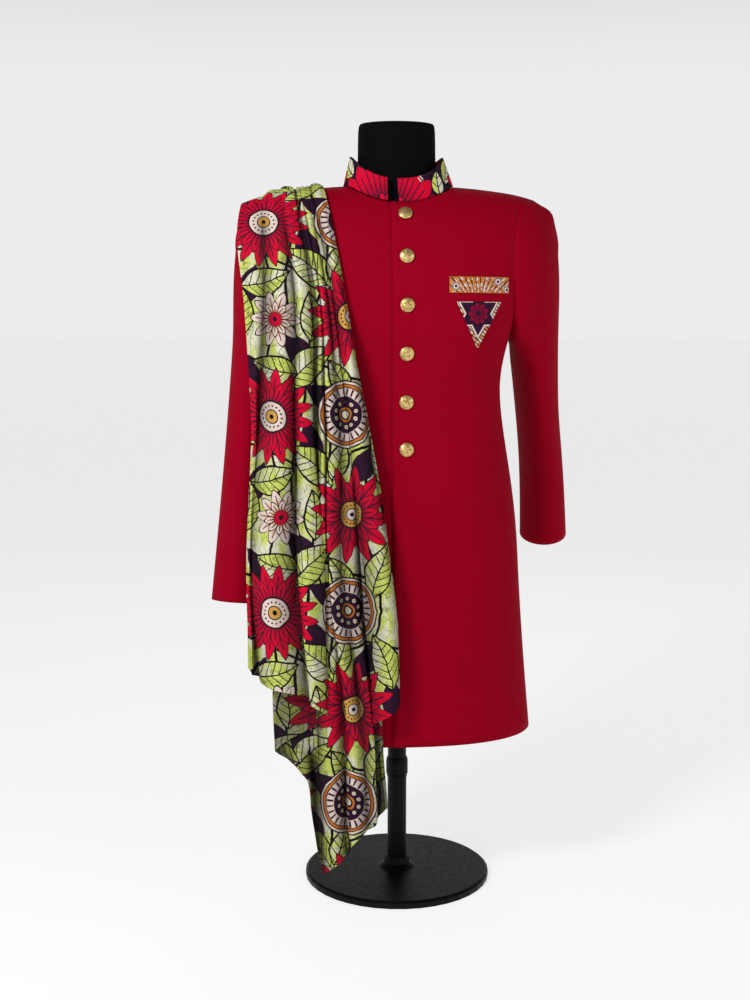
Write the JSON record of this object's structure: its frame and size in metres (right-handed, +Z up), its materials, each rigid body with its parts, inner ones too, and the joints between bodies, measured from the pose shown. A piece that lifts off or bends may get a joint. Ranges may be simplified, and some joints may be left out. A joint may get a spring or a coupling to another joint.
{
  "type": "dashiki blazer on a dress form",
  "caption": "Fitted stand-collar blazer with a pleated printed shoulder sash, worn by a limbless dress form on a round-based pole.",
  "frame": {"origin": "on the floor under the pole's axis, at the base's flat underside", "axes": "+Z up along the pole, -Y out of the blazer's front, +X to the wearer's left"},
  "size_m": [0.6118, 0.4249, 1.204],
  "materials": {
    "red_suiting": "smooth matt crimson suiting",
    "wax_print_floral": "printed cotton, crimson flowers on pale leaves",
    "wax_print_crimson": "printed cotton, crimson petals with plum spots",
    "wax_print_orange": "printed cotton, orange and cream scallops",
    "wax_print_star": "printed cotton, plum star on orange",
    "gilt_metal": "gilt, softly polished",
    "black_jersey": "fine black knit cover",
    "black_metal": "satin black"
  },
  "bodies": {
    "root": {"front_left": "red_suiting", "front_right": "red_suiting", "back": "red_suiting", "sleeve_left": "red_suiting", "sleeve_right": "red_suiting", "collar": "wax_print_crimson", "pocket_welt": "wax_print_orange", "chest_patch": "wax_print_star", "button_1": "gilt_metal", "button_2": "gilt_metal", "button_3": "gilt_metal", "button_4": "gilt_metal", "button_5": "gilt_metal", "button_6": "gilt_metal", "sash": "wax_print_floral", "form_torso": "black_jersey", "base": "black_metal", "pole_lower": "black_metal", "height_knob": "black_metal", "pole_upper": "black_metal"}
  },
  "joints": []
}
